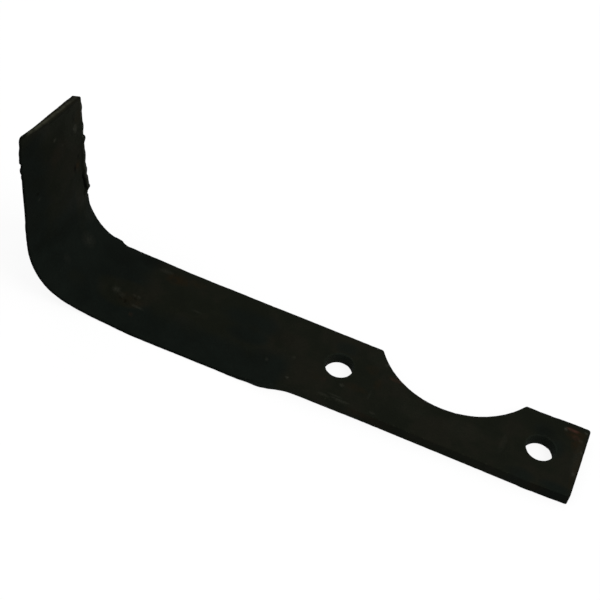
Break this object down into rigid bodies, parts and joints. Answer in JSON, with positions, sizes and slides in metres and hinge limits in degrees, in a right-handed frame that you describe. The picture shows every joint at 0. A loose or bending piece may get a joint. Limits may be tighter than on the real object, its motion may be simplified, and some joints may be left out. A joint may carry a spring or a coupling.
{
  "type": "rotary tiller blade",
  "caption": "Forged steel tiller blade: flat bolted shank with a half-round notch, bevelled knife edge and a tip bent upright.",
  "frame": {"origin": "on the underside of the shank, midway between the two bolt holes along X and halfway across the neck that the notch leaves", "axes": "+X along the shank towards the butt, with the bent tip at -X; +Y across the bar towards the notched back edge; +Z square to the shank, the way the tip stands up"},
  "size_m": [0.2106, 0.0367, 0.0801],
  "materials": {
    "black_scale_steel": "dark olive-black forging scale, satin, with faint brown rust"
  },
  "bodies": {
    "root": {"tiller_blade": "black_scale_steel"}
  },
  "joints": []
}
